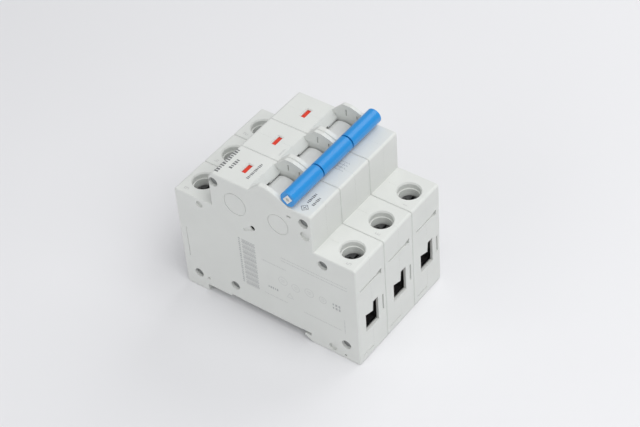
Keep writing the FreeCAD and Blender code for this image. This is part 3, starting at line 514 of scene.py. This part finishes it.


# ---------------------------------------------------------------- return springs on the plungers

def spring_mesh(name, x):
    """Round-wire helix about the plunger's pin, along +Y, closed at both ends."""
    low = SPRING_LOW_Y + SPRING_WIRE
    high = SPRING_HIGH_Y - SPRING_WIRE
    shape = bmesh.new()
    rings = []
    for step in range(SPRING_STEPS + 1):
        share = step / SPRING_STEPS
        angle = math.tau * SPRING_TURNS * share
        out = Vector((math.cos(angle), 0, math.sin(angle)))
        middle = Vector((x, low + (high - low) * share, COIL_Z)) + SPRING_RADIUS * out
        ring = []
        for side in range(SPRING_SIDES):
            around = math.tau * side / SPRING_SIDES
            offset = math.cos(around) * out + math.sin(around) * Vector((0, 1, 0))
            ring.append(shape.verts.new((middle + SPRING_WIRE * offset) * MM))
        rings.append(ring)
    for first, second in zip(rings, rings[1:]):
        for side in range(SPRING_SIDES):
            following = (side + 1) % SPRING_SIDES
            shape.faces.new((first[side], first[following], second[following], second[side]))
    shape.faces.new(rings[0])
    shape.faces.new(list(reversed(rings[-1])))
    bmesh.ops.recalc_face_normals(shape, faces=shape.faces)
    for face in shape.faces:
        face.smooth = len(face.verts) == 4
    mesh = bpy.data.meshes.new(name)
    shape.to_mesh(mesh)
    shape.free()
    return mesh


def plunger_springs(materials):
    """One return spring per pole, between its plunger and the yoke, built at one fixed length."""
    for pole, x in POLE_X.items():
        name = f"return_spring_{pole}"
        spring = bpy.data.objects.new(name, spring_mesh(name, x))
        spring.data.materials.append(materials["steel"])
        bpy.context.scene.collection.objects.link(spring)
        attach(spring, "housing")
        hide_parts("plunger_springs")
        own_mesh(spring)


# ---------------------------------------------------------------- stage, light, camera

def add_stage():
    """Pale seamless floor under the object."""
    mesh = bpy.data.meshes.new("floor")
    grid = bmesh.new()
    bmesh.ops.create_grid(grid, x_segments=1, y_segments=1, size=FLOOR_HALF_METRES)
    grid.to_mesh(mesh)
    grid.free()
    floor = bpy.data.objects.new("floor", mesh)
    floor.location.z = CAD_BOX[0][2] - FLOOR_GAP * MM
    floor.data.materials.append(floor_finish("floor_pale", (0.80, 0.80, 0.815), 0.7))
    bpy.context.scene.collection.objects.link(floor)


def area_light(name, place, size, power):
    """A square soft box facing the object, its place and size in metres."""
    lamp = bpy.data.lights.new(name, "AREA")
    lamp.shape = "SQUARE"
    lamp.size = size
    lamp.energy = power
    holder = bpy.data.objects.new(name, lamp)
    holder.location = place
    aim = Vector(LIGHT_TARGET_METRES) - Vector(place)
    holder.rotation_euler = aim.to_track_quat("-Z", "Y").to_euler()
    bpy.context.scene.collection.objects.link(holder)


def add_lights():
    """Large soft boxes: overhead key towards the line end, a weaker one from each side; pale world."""
    area_light("key", place=(0.15, 0.55, 0.9), size=0.9, power=6.8)
    area_light("fill", place=(0.9, -0.35, 0.5), size=0.8, power=2.2)
    area_light("back", place=(-0.7, 0.1, 0.6), size=0.7, power=2.6)
    world = bpy.data.worlds.new("studio")
    world.use_nodes = True
    background = world.node_tree.nodes["Background"]
    background.inputs["Color"].default_value = WORLD_COLOR
    background.inputs["Strength"].default_value = WORLD_STRENGTH
    bpy.context.scene.world = world


def add_camera():
    """Three-quarter view from above the line end, through a long lens."""
    azimuth = math.radians(CAMERA_AZIMUTH)
    elevation = math.radians(CAMERA_ELEVATION)
    roll = math.radians(CAMERA_ROLL)
    back = Vector((
        math.sin(azimuth) * math.cos(elevation),
        -math.cos(azimuth) * math.cos(elevation),
        math.sin(elevation),
    ))
    right = Vector((math.cos(azimuth), math.sin(azimuth), 0.0))
    up = back.cross(right)
    rolled_right = math.cos(roll) * right + math.sin(roll) * up
    rolled_up = -math.sin(roll) * right + math.cos(roll) * up
    target = Vector((0, 0, CAMERA_TARGET_Z * MM))
    target = target + CAMERA_SHIFT_RIGHT * MM * rolled_right + CAMERA_SHIFT_UP * MM * rolled_up
    lens = bpy.data.cameras.new("camera")
    lens.lens = CAMERA_LENS
    lens.sensor_width = CAMERA_SENSOR
    lens.clip_start = CAMERA_CLIP_METRES
    holder = bpy.data.objects.new("camera", lens)
    axes = (rolled_right, rolled_up, back)
    place = target + CAMERA_DISTANCE * MM * back
    for row in range(3):
        for column in range(3):
            holder.matrix_world[row][column] = axes[column][row]
        holder.matrix_world[row][3] = place[row]
    bpy.context.scene.collection.objects.link(holder)
    bpy.context.scene.camera = holder


# ---------------------------------------------------------------- scene

bpy.context.scene.view_settings.view_transform = "Standard"
materials = make_materials()
dress_frame(materials)
front_marks(materials)
terminal_numerals(materials)
side_marks(materials)
plunger_springs(materials)
add_stage()
add_lights()
add_camera()
